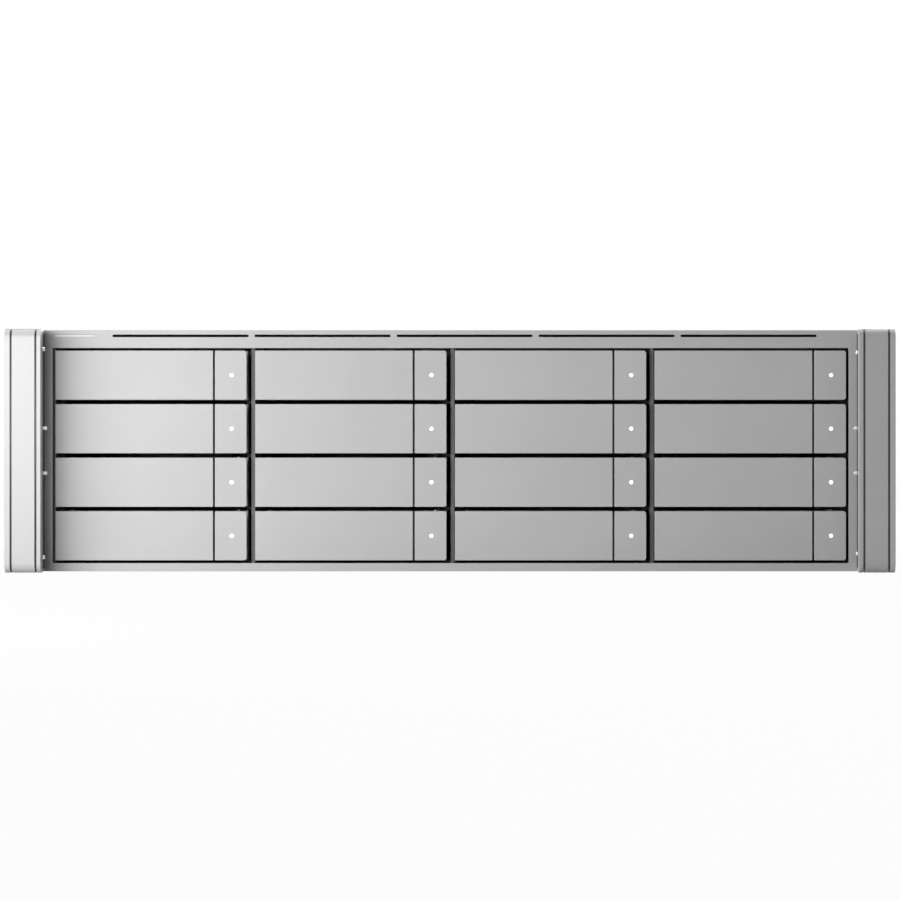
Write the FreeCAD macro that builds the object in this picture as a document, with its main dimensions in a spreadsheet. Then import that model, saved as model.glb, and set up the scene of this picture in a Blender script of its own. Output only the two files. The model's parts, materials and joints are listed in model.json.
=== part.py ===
import FreeCAD, Part
import math
import os
import re
import Sketcher

# A 3U disk shelf for a 19-inch rack: sixteen drive carriers in four rows and four columns behind
# an open front frame, a midplane, and two power modules and two I/O modules behind it.
# X runs to the right seen from the front, Y runs back and Z up. X = 0 is the middle, Y = 0 the
# plane where the rack flanges meet the rack posts, and Z = 0 the underside.

rows = 4
columns = 4
vent_slots = 5
fan_blades = 5
io_vents = 5
head_sides = 12
guard_sides = 16
octagon_cut = 2 - math.sqrt(2)      # a corner's cut on a regular octagon, as a share of its half width
octagon_inside = math.cos(math.pi / 8)      # half width of an octagon inside a circle of radius 1

dimensions = {
    # rack interface
    "rack_width": 482.6,
    "bolt_spacing_across": 465.1,
    "bolt_spacing_up": 57.15,
    "bolt_slot_length": 10.3,
    "bolt_slot_width": 6.8,
    "flange_thickness": 2.0,
    "bracket_plate": 1.5,
    "bracket_reach": 70.0,
    # sheet-metal enclosure and front frame
    "body_depth": 500.0,
    "sheet_wall": 1.0,
    "cover_flange": 8.0,
    "cover_gap": 0.2,
    "cover_screw_radius": 2.6,
    "cover_screw_head": 0.8,
    "frame_stand": 3.0,
    "frame_plate": 1.6,
    "frame_return": 12.0,
    "bottom_strip": 4.5,
    "top_strip": 9.8,
    "side_strip": 4.5,
    "floor_gap": 1.5,
    "ceiling_gap": 1.4,
    "side_gap": 1.55,
    "row_gap": 2.4,
    "column_gap": 4.7,
    "vent_length": 74.7,
    "vent_width": 1.3,
    "vent_pitch": 78.0,
    "vent_offset": 7.7,
    "vent_drop": 3.1,
    "vent_corner": 0.4,
    "light_bar_length": 22.0,
    "light_bar_inset": 5.5,
    "light_bar_recess": 0.3,
    "light_bar_foot": 0.85,
    "light_bar_depth": 3.0,
    # drive and its carrier
    "drive_width": 101.6,
    "drive_height": 26.1,
    "drive_length": 147.0,
    "drive_cover": 4.1,
    "drive_cover_inset": 1.6,
    "drive_clearance": 0.3,
    "drive_plug_rise": 2.0,
    "tray_wall": 1.4,
    "tray_floor": 0.6,
    "tray_arm_height": 18.0,
    "tray_overrun": 4.0,
    "tray_rim": 12.0,
    "tray_window_inset": 14.0,
    "tray_window_low": 4.5,
    "tray_window_cut": 3.0,
    "head_depth": 20.0,
    "head_bar": 2.0,
    "face_plate": 2.4,
    "carrier_proud": 0.5,
    # carrier latch
    "latch_width": 17.4,
    "latch_split": 1.1,
    "latch_plate": 1.8,
    "latch_corner": 0.9,
    "latch_pin_inset": 6.0,
    "latch_pin_depth": 4.2,
    "latch_pin_radius": 0.9,
    "latch_rib": 1.6,
    "latch_tail": 9.0,
    "latch_bolt_height": 8.0,
    "latch_nose": 2.6,
    "lug_thickness": 1.5,
    "lug_radius": 1.8,
    "lug_inset": 1.0,
    "pin_clearance": 0.05,
    # bay walls and guide rails
    "divider_wall": 2.2,
    "divider_recess": 4.5,
    "divider_gap": 0.3,
    "rail_reach": 5.0,
    "rail_start": 16.0,
    "rail_nose": 6.0,
    "running_gap": 0.3,
    # midplane
    "midplane_board": 3.2,
    "midplane_margin": 2.0,
    "socket_width": 43.0,
    "socket_height": 6.5,
    "socket_depth": 8.0,
    "socket_margin": 9.0,
    "socket_rise": 2.0,
    "window_margin": 12.0,
    # ear caps
    "ear_projection": 25.5,
    "cap_wall": 2.0,
    "cap_end_radius": 5.0,
    "cap_groove_width": 1.0,
    "cap_groove_depth": 0.7,
    "cap_groove_inner": 2.2,
    "cap_groove_outer": 3.0,
    "cap_gap": 0.3,
    "cap_lip": 1.4,
    "cap_lip_depth": 8.0,
    "bezel_pin_radius": 1.1,
    "bezel_pin_length": 3.3,
    "bezel_pin_spacing": 24.4,
    "ear_screw_radius": 1.2,
    "ear_screw_head": 2.2,
    "ear_screw_left": 113.2,
    "ear_screw_right": 109.4,
    "ear_screw_drop": 1.3,
    # rear modules
    "module_wall": 1.2,
    "module_gap": 0.5,
    "module_sheet": 1.0,
    "module_socket_width": 60.0,
    "module_socket_height": 14.0,
    "module_socket_depth": 14.0,
    "psu_width": 104.0,
    "fan_bore": 40.0,
    "fan_depth": 25.0,
    "fan_hub": 16.0,
    "fan_tip_gap": 1.0,
    "fan_rise": 79.0,
    "fan_inset": 58.0,
    "inlet_width": 25.0,
    "inlet_height": 17.0,
    "inlet_depth": 16.0,
    "inlet_flange": 1.4,
    "inlet_back": 2.0,
    "inlet_cut": 5.0,
    "inlet_rise": 20.0,
    "inlet_inset": 42.0,
    "switch_width": 9.0,
    "switch_height": 15.0,
    "switch_inset": 82.0,
    "switch_rim": 1.0,
    "port_width": 20.0,
    "port_height": 9.0,
    "port_depth": 14.0,
    "port_rise": 40.0,
    "switch_depth": 8.0,
    "guard_wire": 1.6,
    "guard_ring": 27.0,
    "guard_middle": 14.0,
    "shroud_wall": 2.0,
    "shroud_corner": 6.0,
    "strut_depth": 3.0,
    "strut_width": 4.0,
    "rotor_gap": 0.6,
    "hub_edge": 2.0,
    "blade_chord": 18.0,
    "blade_rise": 18.0,
    "blade_camber": 0.58,
    "blade_thickness": 1.2,
    "handle_length": 104.0,
    "handle_width": 9.0,
    "handle_stand": 17.0,
    "handle_bar": 5.0,
    "handle_inset": 6.0,
    "handle_rise": 10.0,
    "handle_foot": 8.0,
    "handle_bend": 6.0,
    "handle_pivot": 6.0,
    "handle_pin": 1.5,
    "handle_gap": 0.5,
    "ear_plate": 1.5,
    "port_pitch": 42.0,
    "port_stand": 0.6,
    "port_shell": 1.0,
    "io_vent_inset": 12.0,
    "io_vent_pitch": 6.0,
    "io_vent_width": 3.0,
    "io_vent_length": 20.0,
    "lever_length": 70.0,
    "lever_height": 8.0,
    "lever_rise": 8.0,
    "lever_pivot": 100.0,
    "lever_crank": 11.0,
    "lever_stand": 10.2,
    "lever_bar": 2.6,
}

# sizes that follow from the driving ones
derived = {
    "carrier_width": "drive_width + 2 * drive_clearance + 2 * tray_wall",
    "carrier_height": "drive_height + tray_floor + drive_clearance",
    "column_pitch": "carrier_width + column_gap",
    "row_pitch": "carrier_height + row_gap",
    "first_column": f"-({columns} * carrier_width + {columns - 1} * column_gap) / 2",
    "first_row": "bottom_strip + floor_gap",
    "opening_half": "side_gap - first_column",
    "opening_top": f"first_row + {rows} * carrier_height + {rows - 1} * row_gap + ceiling_gap",
    "panel_height": "opening_top + top_strip",
    "body_half": "opening_half + side_strip",
    "frame_back": "frame_plate - frame_stand",
    "body_rear": "body_depth - frame_stand",
    "face_front": "-frame_stand - carrier_proud",
    "face_width": "carrier_width - latch_width - latch_split",
    "bay_back": "head_depth + head_bar",
    "drive_front": "bay_back + drive_clearance",
    "drive_back": "drive_front + drive_length",
    "tray_back": "drive_back + tray_overrun",
    "latch_left": "carrier_width - latch_width",
    "latch_pin_x": "carrier_width - latch_pin_inset",
    "arm_front": "latch_pin_depth + latch_pin_inset",
    "midplane_front": "face_front + drive_back + running_gap + socket_depth",
    "midplane_back": "midplane_front + midplane_board",
    "divider_front": "divider_recess - frame_stand",
    "divider_offset": "-divider_gap - divider_wall",
    "wall_space": "column_gap - divider_gap - divider_wall",
    "end_wall": "inner_half - cover_gap - divider_wall",
    "end_space": "end_wall + first_column",
    "ear_width": "rack_width / 2 - body_half",
    "ear_front": "-frame_stand - ear_projection",
    "ear_mid": "(ear_front - frame_stand) / 2",
    "inner_half": "body_half - sheet_wall",
    "inner_top": "panel_height - sheet_wall",
    "bay_half": "inner_half - cover_gap - sheet_wall",
    "psu_height": "inner_top - sheet_wall - 2 * module_gap",
    "psu_bay": "psu_width + 2 * module_gap",
    "io_half": "bay_half - psu_bay - module_wall - module_gap",
    "io_height": "(inner_top - sheet_wall - module_wall) / 2 - 2 * module_gap",
    "module_front": "midplane_back + module_socket_depth + running_gap",
    "module_length": "body_rear - module_front",
    "blade_start": "sqrt(fan_hub^2 - (blade_chord / 2)^2) - blade_thickness",
    "blade_end": "sqrt((fan_bore - fan_tip_gap)^2 - (blade_chord / 2)^2)",
}

doc = FreeCAD.newDocument("disk_shelf")
sheet = doc.addObject("Spreadsheet::Sheet", "sizes")
for cell, (name, size) in enumerate(dimensions.items(), start=1):
    sheet.set(f"A{cell}", name)
    sheet.set(f"B{cell}", str(size))
    sheet.setAlias(f"B{cell}", name)
doc.recompute()


def formula(text):
    def expand(match):
        word = match.group(0)
        if word in derived:
            return f"({formula(derived[word])})"
        return f"sizes.{word}" if word in dimensions else word
    return re.sub(r"[a-z_]+", expand, str(text))


def value(text):
    return float(sheet.evalExpression(formula(text)))


def new_body(label):
    body = doc.addObject("PartDesign::Body", label)
    body.Label = label
    return body


def new_sketch(body, plane, at="0"):
    origin_plane = next(f for f in body.Origin.OriginFeatures if f.Role == plane)
    sketch = body.newObject("Sketcher::SketchObject", f"{body.Name}_sketch")
    sketch.AttachmentSupport = [(origin_plane, "")]
    sketch.MapMode = "FlatFace"
    # the XZ plane's normal points to -Y
    sign = "-" if plane == "XZ_Plane" else ""
    sketch.setExpression("AttachmentOffset.Base.z", f"{sign}({formula(at)})")
    return sketch


def hold(sketch, kind, geometry, point, text, name):
    size = value(text)
    if kind == "Radius":
        index = sketch.addConstraint(Sketcher.Constraint(kind, geometry, size))
    else:
        index = sketch.addConstraint(Sketcher.Constraint(kind, -1, 1, geometry, point, size))
    sketch.renameConstraint(index, name)
    sketch.setExpression(f"Constraints.{name}", formula(text))


def polygon(sketch, points):
    first = sketch.GeometryCount
    corners = [FreeCAD.Vector(value(x), value(y), 0) for x, y in points]
    for start, end in zip(corners, corners[1:] + corners[:1]):
        sketch.addGeometry(Part.LineSegment(start, end))
    for step in range(len(points)):
        after = first + (step + 1) % len(points)
        sketch.addConstraint(Sketcher.Constraint("Coincident", first + step, 2, after, 1))
    for step, (x, y) in enumerate(points):
        hold(sketch, "DistanceX", first + step, 1, x, f"x{first + step}")
        hold(sketch, "DistanceY", first + step, 1, y, f"y{first + step}")


def rectangle(sketch, x0, y0, x1, y1):
    polygon(sketch, [(x0, y0), (x1, y0), (x1, y1), (x0, y1)])


def cut_rectangle(sketch, x0, y0, x1, y1, cut):
    # a rectangle whose four corners are cut off at 45 degrees
    polygon(sketch, [
        (f"{x0} + {cut}", y0), (f"{x1} - {cut}", y0), (x1, f"{y0} + {cut}"), (x1, f"{y1} - {cut}"),
        (f"{x1} - {cut}", y1), (f"{x0} + {cut}", y1), (x0, f"{y1} - {cut}"), (x0, f"{y0} + {cut}")])


def octagon(sketch, x, y, flat):
    # flat is the distance from the middle to each of the eight sides
    cut_rectangle(sketch, f"{x} - ({flat})", f"{y} - ({flat})", f"{x} + ({flat})", f"{y} + ({flat})",
                  f"({flat}) * {octagon_cut}")


def many_sided(sketch, x, y, radius, sides):
    # a regular outline whose corners lie on the radius
    turns = [2 * math.pi * side / sides for side in range(sides)]
    polygon(sketch, [(f"{x} + ({radius}) * {math.cos(turn):.9f}", f"{y} + ({radius}) * {math.sin(turn):.9f}")
                     for turn in turns])


def circle(sketch, x, y, radius):
    index = sketch.GeometryCount
    centre = FreeCAD.Vector(value(x), value(y), 0)
    sketch.addGeometry(Part.Circle(centre, FreeCAD.Vector(0, 0, 1), value(radius)))
    hold(sketch, "DistanceX", index, 3, x, f"x{index}")
    hold(sketch, "DistanceY", index, 3, y, f"y{index}")
    hold(sketch, "Radius", index, 0, radius, f"r{index}")


def slot(sketch, x0, y0, x1, y1, radius):
    # a round-ended slot between two centres that lie level or one above the other
    first = sketch.GeometryCount
    level = value(y0) == value(y1)
    size = value(radius)
    start = FreeCAD.Vector(value(x0), value(y0), 0)
    end = FreeCAD.Vector(value(x1), value(y1), 0)
    turn = 0 if level else math.pi / 2
    side = FreeCAD.Vector(-math.sin(turn), math.cos(turn), 0) * size
    up = FreeCAD.Vector(0, 0, 1)
    back = Part.Circle(start, up, size)
    front = Part.Circle(end, up, size)
    sketch.addGeometry(Part.ArcOfCircle(back, turn + math.pi / 2, turn + 3 * math.pi / 2))
    sketch.addGeometry(Part.LineSegment(start - side, end - side))
    sketch.addGeometry(Part.ArcOfCircle(front, turn - math.pi / 2, turn + math.pi / 2))
    sketch.addGeometry(Part.LineSegment(end + side, start + side))
    for one, one_end, other, other_end in ((0, 2, 1, 1), (1, 2, 2, 1), (2, 2, 3, 1), (3, 2, 0, 1)):
        pair = (first + one, one_end, first + other, other_end)
        sketch.addConstraint(Sketcher.Constraint("Coincident", *pair))
    across = "Vertical" if level else "Horizontal"
    for arc in (first, first + 2):
        for arc_end in (1, 2):
            sketch.addConstraint(Sketcher.Constraint(across, arc, arc_end, arc, 3))
    for arc, x, y in ((first, x0, y0), (first + 2, x1, y1)):
        hold(sketch, "DistanceX", arc, 3, x, f"x{arc}")
        hold(sketch, "DistanceY", arc, 3, y, f"y{arc}")
        hold(sketch, "Radius", arc, 0, radius, f"r{arc}")


def extrude(kind, body, sketch, length, towards):
    feature = body.newObject(f"PartDesign::{kind}", f"{body.Name}_{kind.lower()}")
    feature.Profile = sketch
    feature.setExpression("Length", formula(length))
    plane = sketch.AttachmentSupport[0][0].Role
    along_normal = (towards > 0) != (plane == "XZ_Plane")
    feature.Reversed = not along_normal if kind == "Pad" else along_normal
    sketch.Visibility = False
    return feature


def pad(body, sketch, length, towards=1):
    return extrude("Pad", body, sketch, length, towards)


def pocket(body, sketch, length, towards=1):
    return extrude("Pocket", body, sketch, length, towards)


def fillet(body, radius, wanted):
    doc.recompute()
    base = body.Tip
    names = [f"Edge{n}" for n, edge in enumerate(base.Shape.Edges, start=1) if wanted(edge)]
    feature = body.newObject("PartDesign::Fillet", f"{body.Name}_fillet")
    feature.Base = (base, names)
    feature.setExpression("Radius", formula(radius))
    return feature


def runs_along(edge, axis):
    if edge.Curve.TypeId != "Part::GeomLine":
        return False
    return abs(getattr(edge.Curve.Direction, axis)) > 0.999


def lies_at(edge, axis, text):
    return abs(getattr(edge.CenterOfMass, axis) - value(text)) < 0.01


def box(label, x0, x1, y0, y1, z0, z1):
    block = doc.addObject("Part::Box", label)
    for size, low, high in (("Length", x0, x1), ("Width", y0, y1), ("Height", z0, z1)):
        block.setExpression(size, formula(f"{high} - ({low})"))
    for axis, low in (("x", x0), ("y", y0), ("z", z0)):
        block.setExpression(f"Placement.Base.{axis}", formula(low))
    return block


def fused(label, pieces):
    whole = doc.addObject("Part::MultiFuse", label)
    whole.Shapes = pieces
    return whole


def tube(label, outer, inner, length, x, y, z, axis):
    ring = doc.addObject("Part::Cut", label)
    ring.Base = cylinder(f"{label}_outside", outer, length, x, y, z, axis)
    ring.Tool = cylinder(f"{label}_inside", inner, length, x, y, z, axis)
    return ring


def placed(label, pieces, x="0", y="0", z="0"):
    group = doc.addObject("Part::Compound", label)
    group.Label = label
    group.Links = pieces
    for axis, text in (("x", x), ("y", y), ("z", z)):
        group.setExpression(f"Placement.Base.{axis}", formula(text))
    return group


def cylinder(label, radius, length, x, y, z, axis, sides=0):
    # small repeated heads and pins are given a number of sides instead of a round
    rod = doc.addObject("Part::Prism" if sides else "Part::Cylinder", label)
    if sides:
        rod.Polygon = sides
    rod.setExpression("Circumradius" if sides else "Radius", formula(radius))
    rod.setExpression("Height", formula(length))
    rod.Placement.Rotation = FreeCAD.Rotation(FreeCAD.Vector(0, 0, 1), FreeCAD.Vector(*axis))
    for name, text in (("x", x), ("y", y), ("z", z)):
        rod.setExpression(f"Placement.Base.{name}", formula(text))
    return rod


# ---- drive carrier, with its own corner at x = 0 and z = 0 and its face at y = 0

def carrier_tray():
    body = new_body("tray")
    plan = new_sketch(body, "XY_Plane")
    arm = "carrier_width - tray_wall"
    polygon(plan, [
        ("0", "0"), ("face_width", "0"), ("face_width", "head_depth"), (arm, "head_depth"),
        (arm, "arm_front"), ("carrier_width", "arm_front"), ("carrier_width", "tray_back"),
        (arm, "tray_back"), (arm, "bay_back"), ("tray_wall", "bay_back"),
        ("tray_wall", "tray_back"), ("0", "tray_back")])
    rectangle(plan, "tray_wall", "face_plate", "face_width - tray_wall", "head_depth")
    pad(body, plan, "carrier_height")
    # the arms are lower than the head, and slope down from it
    side = new_sketch(body, "YZ_Plane")
    polygon(side, [
        ("bay_back", "carrier_height + 1"), ("bay_back", "carrier_height"),
        ("bay_back + carrier_height - tray_arm_height", "tray_arm_height"),
        ("tray_back + 1", "tray_arm_height"), ("tray_back + 1", "carrier_height + 1")])
    pocket(body, side, "carrier_width")
    openings = new_sketch(body, "YZ_Plane")
    cut_rectangle(openings, "drive_front + tray_window_inset", "tray_window_low", "drive_back - tray_window_inset",
                  "tray_arm_height - tray_window_low", "tray_window_cut")
    pocket(body, openings, "carrier_width")
    floor = new_sketch(body, "XY_Plane")
    rectangle(floor, "0", "head_depth", "carrier_width", "tray_back")
    rectangle(floor, "tray_rim", "drive_front + tray_rim", "carrier_width - tray_rim", "drive_back - tray_rim")
    pad(body, floor, "tray_floor")
    # two lugs carry the latch pin, whose bore has eight sides around its round
    near = "latch_pin_depth - lug_radius"
    cut = f"lug_radius * {octagon_cut}"
    left, right = "latch_pin_x - lug_radius", "latch_pin_x + lug_radius"
    for at in ("lug_inset", "carrier_height - lug_inset - lug_thickness"):
        lug = new_sketch(body, "XY_Plane", at)
        polygon(lug, [
            (left, "head_depth"), (left, f"{near} + {cut}"), (f"{left} + {cut}", near),
            (f"{right} - {cut}", near), (right, f"{near} + {cut}"), (right, "head_depth")])
        pad(body, lug, "lug_thickness")
    bore = new_sketch(body, "XY_Plane")
    octagon(bore, "latch_pin_x", "latch_pin_depth", "latch_pin_radius + pin_clearance")
    pocket(body, bore, "carrier_height")
    # the latch bolt passes through the right arm
    notch = new_sketch(body, "YZ_Plane", "face_width")
    reach = "(latch_bolt_height / 2 + running_gap)"
    rectangle(notch, "arm_front - 1", f"carrier_height / 2 - {reach}",
              "latch_pin_depth + latch_tail + 2 * running_gap", f"carrier_height / 2 + {reach}")
    pocket(body, notch, "latch_width + latch_split")
    return body


def hard_drive():
    # a cast base under a narrower lid, with its connector in a recess at the back
    body = new_body("drive")
    body.setExpression("Placement.Base.x", formula("tray_wall + drive_clearance"))
    body.setExpression("Placement.Base.y", formula("drive_front"))
    body.setExpression("Placement.Base.z", formula("tray_floor + drive_clearance"))
    casting = new_sketch(body, "XY_Plane")
    rectangle(casting, "0", "0", "drive_width", "drive_length")
    pad(body, casting, "drive_height - drive_cover")
    lid = new_sketch(body, "XY_Plane", "drive_height - drive_cover")
    inset = "drive_cover_inset"
    rectangle(lid, inset, inset, f"drive_width - {inset}", f"drive_length - {inset}")
    pad(body, lid, "drive_cover")
    plug = new_sketch(body, "XZ_Plane", "drive_length")
    rectangle(plug, "(drive_width - socket_width) / 2", "drive_plug_rise",
              "(drive_width + socket_width) / 2", "drive_plug_rise + socket_height")
    pocket(body, plug, "socket_depth / 2", towards=-1)
    return body


def carrier_latch():
    body = new_body("latch")
    panel = new_sketch(body, "XZ_Plane")
    right = "carrier_width"
    cut = "latch_corner"
    polygon(panel, [
        ("latch_left", "0"), (f"{right} - {cut}", "0"), (right, cut), (right, f"carrier_height - {cut}"),
        (f"{right} - {cut}", "carrier_height"), ("latch_left", "carrier_height")])
    pad(body, panel, "latch_plate")
    rib_bottom = "lug_inset + lug_thickness + running_gap"
    rib = new_sketch(body, "XY_Plane", rib_bottom)
    rectangle(rib, "latch_pin_x - latch_rib", "latch_plate / 2", "latch_pin_x + latch_rib",
              "latch_pin_depth + latch_rib")
    pad(body, rib, f"carrier_height - 2 * ({rib_bottom})")
    # the pin has eight sides inside its round
    trunnion = new_sketch(body, "XY_Plane", "lug_inset")
    octagon(trunnion, "latch_pin_x", "latch_pin_depth", f"latch_pin_radius * {octagon_inside}")
    pad(body, trunnion, "carrier_height - 2 * lug_inset")
    # the bolt reaches back from the pin and its sloping nose catches the bay wall
    bolt = new_sketch(body, "XY_Plane", "(carrier_height - latch_bolt_height) / 2")
    tip = "latch_pin_depth + latch_tail"
    near, far = "latch_pin_x - latch_rib / 2", "latch_pin_x + latch_rib / 2"
    nose = "carrier_width - running_gap"
    polygon(bolt, [
        (near, "latch_pin_depth"), (far, "latch_pin_depth"), (far, f"{tip} - latch_nose"),
        (nose, f"{tip} - latch_nose"), (nose, f"{tip} - latch_nose * 3 / 4"), (far, tip), (near, tip)])
    pad(body, bolt, "latch_bolt_height")
    return body


def make_carriers():
    tray = carrier_tray()
    drive = hard_drive()
    latch = carrier_latch()
    nodes = []
    for row in range(rows):
        for column in range(columns):
            name = f"r{rows - row}c{column + 1}"
            place = (f"first_column + {column} * column_pitch", "face_front", f"first_row + {row} * row_pitch")
            nodes.append(placed(f"carrier_{name}", [tray, drive], *place))
            nodes.append(placed(f"latch_{name}", [latch], *place))
    return nodes


# ---- enclosure

def chassis_pan():
    body = new_body("chassis_pan")
    section = new_sketch(body, "XZ_Plane", "frame_back")
    wall_top = "inner_top - cover_gap"
    polygon(section, [
        ("-body_half", "0"), ("body_half", "0"), ("body_half", wall_top), ("inner_half", wall_top),
        ("inner_half", "sheet_wall"), ("-inner_half", "sheet_wall"), ("-inner_half", wall_top),
        ("-body_half", wall_top)])
    pad(body, section, "body_rear - frame_back")
    return body


def top_cover():
    body = new_body("top_cover")
    section = new_sketch(body, "XZ_Plane", "frame_back")
    outer = "inner_half - cover_gap"
    inner = "inner_half - cover_gap - sheet_wall"
    low = "inner_top - cover_flange"
    polygon(section, [
        (f"-({outer})", low), (f"-({inner})", low), (f"-({inner})", "inner_top"), (inner, "inner_top"),
        (inner, low), (outer, low), (outer, "inner_top"), ("body_half", "inner_top"),
        ("body_half", "panel_height"), ("-body_half", "panel_height"), ("-body_half", "inner_top"),
        (f"-({outer})", "inner_top")])
    pad(body, section, "body_rear - frame_back")
    return body


def front_frame():
    body = new_body("front_frame")
    face = new_sketch(body, "XZ_Plane", "-frame_stand")
    rectangle(face, "-body_half", "0", "body_half", "panel_height")
    rectangle(face, "-opening_half", "bottom_strip", "opening_half", "opening_top")
    pad(body, face, "frame_plate")
    hem = new_sketch(body, "XZ_Plane", "frame_back")
    rectangle(hem, "-opening_half", "opening_top", "opening_half", "opening_top + frame_plate")
    pad(body, hem, "frame_return")
    vents = new_sketch(body, "XZ_Plane", "-frame_stand")
    low = "panel_height - vent_drop - vent_width / 2"
    for vent in range(vent_slots):
        start = f"vent_offset + {vent - (vent_slots - 1) / 2} * vent_pitch - vent_length / 2"
        cut_rectangle(vents, start, low, f"{start} + vent_length", f"{low} + vent_width", "vent_corner")
    bar = "light_bar_inset - body_half"
    cut_rectangle(vents, bar, low, f"{bar} + light_bar_length", f"{low} + vent_width", "vent_corner")
    pocket(body, vents, "frame_plate")
    return body


def status_light_bar():
    # a light pipe: a bar that fills its slot and a wider foot behind the frame plate
    body = new_body("status_light_bar")
    start = "light_bar_inset - body_half"
    low = "panel_height - vent_drop - vent_width / 2"
    bar = new_sketch(body, "XZ_Plane", "frame_back")
    cut_rectangle(bar, f"{start} + pin_clearance", f"{low} + pin_clearance",
                  f"{start} + light_bar_length - pin_clearance", f"{low} + vent_width - pin_clearance", "vent_corner")
    pad(body, bar, "frame_plate - light_bar_recess", towards=-1)
    foot = new_sketch(body, "XZ_Plane", "frame_back")
    rectangle(foot, start, f"{low} - light_bar_foot", f"{start} + light_bar_length",
              f"{low} + vent_width + light_bar_foot")
    pad(body, foot, "light_bar_depth")
    return body


def bay_wall(number):
    # the wall on the left of a bay column; the last one closes the right of the last column
    body = new_body(f"bay_wall_{number}")
    wall = new_sketch(body, "XZ_Plane", "divider_front")
    left = f"first_column + {number} * column_pitch + divider_offset"
    if number == columns:
        left = "end_wall"
    rectangle(wall, left, "sheet_wall", f"{left} + divider_wall", "opening_top")
    pad(body, wall, "midplane_front - divider_front")
    return body


def guide_rail(name, start, width, side):
    # a ledge that a carrier's side runs on, with a lead-in taper at its front end
    body = new_body(name)
    plan = new_sketch(body, "XY_Plane")
    reach = f"{side} * ({width})"
    long = "tray_back - divider_recess - rail_start"
    polygon(plan, [
        (start, "0"), (f"{start} + {reach} * 0.5", "0"), (f"{start} + {reach}", "rail_nose"),
        (f"{start} + {reach}", long), (start, long)])
    pad(body, plan, "row_gap - 2 * running_gap")
    return body


def guide_rails():
    near = guide_rail("rail_left", "-divider_gap", "divider_gap + rail_reach", 1)
    far = guide_rail("rail_right", "carrier_width + wall_space", "wall_space + rail_reach", -1)
    last = guide_rail("rail_right_end", "carrier_width + end_space", "end_space + rail_reach", -1)
    rails = []
    for row in range(rows):
        for column in range(columns):
            place = (f"first_column + {column} * column_pitch", "divider_front + rail_start",
                     f"first_row + {row} * row_pitch - row_gap + running_gap")
            name = f"r{rows - row}c{column + 1}"
            rails.append(placed(f"rail_left_{name}", [near], *place))
            rails.append(placed(f"rail_right_{name}", [last if column == columns - 1 else far], *place))
    return placed("guide_rails", rails)


def midplane():
    # tall air windows leave the board as a strip behind each column of sockets, joined above and below
    body = new_body("midplane")
    board = new_sketch(body, "XZ_Plane", "midplane_front")
    edge = "inner_half - midplane_margin"
    top = "inner_top - cover_flange"
    rectangle(board, f"-({edge})", "sheet_wall", edge, top)
    strip = "(socket_width / 2 + socket_margin)"
    for window in range(columns + 1):
        before = f"first_column + {window - 1} * column_pitch + carrier_width / 2 + {strip}"
        after = f"first_column + {window} * column_pitch + carrier_width / 2 - {strip}"
        if window == 0:
            before = f"window_margin - ({edge})"
        if window == columns:
            after = f"{edge} - window_margin"
        rectangle(board, before, "sheet_wall + window_margin", after, f"{top} - window_margin")
    pad(body, board, "midplane_board")
    return body


def drive_sockets():
    socket = new_body("socket")
    shape = new_sketch(socket, "YZ_Plane", "(carrier_width - socket_width) / 2")
    depth = "socket_depth"
    polygon(shape, [
        (f"-{depth}", "1"), ("0", "0"), ("0", "socket_height"), (f"-{depth}", "socket_height - 1")])
    pad(socket, shape, "socket_width")
    copies = []
    for column in range(columns):
        for row in range(rows):
            rise = f"first_row + {row} * row_pitch + tray_floor + drive_clearance + socket_rise"
            copies.append(placed(f"socket_r{rows - row}c{column + 1}", [socket],
                                 f"first_column + {column} * column_pitch", "midplane_front", rise))
    rear = new_body("module_sockets")
    blocks = new_sketch(rear, "XZ_Plane", "midplane_back")
    rear.AllowCompound = True
    half = "module_socket_width / 2"
    tall = "module_socket_height"
    psu_middle = "bay_half - psu_bay / 2"
    for x, z in ((f"-({psu_middle})", "panel_height / 3"), (psu_middle, "panel_height / 3"),
                 ("0", "panel_height / 4"), ("0", "panel_height * 3 / 4 - module_socket_height")):
        rectangle(blocks, f"{x} - {half}", z, f"{x} + {half}", f"{z} + {tall}")
    pad(rear, blocks, "module_socket_depth")
    return placed("midplane_sockets", copies + [rear])


def module_walls():
    # two walls and the shelf between the I/O modules, welded into one H
    body = new_body("module_walls")
    section = new_sketch(body, "XZ_Plane", "midplane_back")
    left = "bay_half - psu_bay - module_wall"
    right = "bay_half - psu_bay"
    low = "sheet_wall + io_height + 2 * module_gap"
    high = f"{low} + module_wall"
    top = "inner_top"
    polygon(section, [
        (f"-({right})", "sheet_wall"), (f"-({left})", "sheet_wall"), (f"-({left})", low), (left, low),
        (left, "sheet_wall"), (right, "sheet_wall"), (right, top), (left, top), (left, high),
        (f"-({left})", high), (f"-({left})", top), (f"-({right})", top)])
    pad(body, section, "body_rear - midplane_back")
    return body


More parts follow.
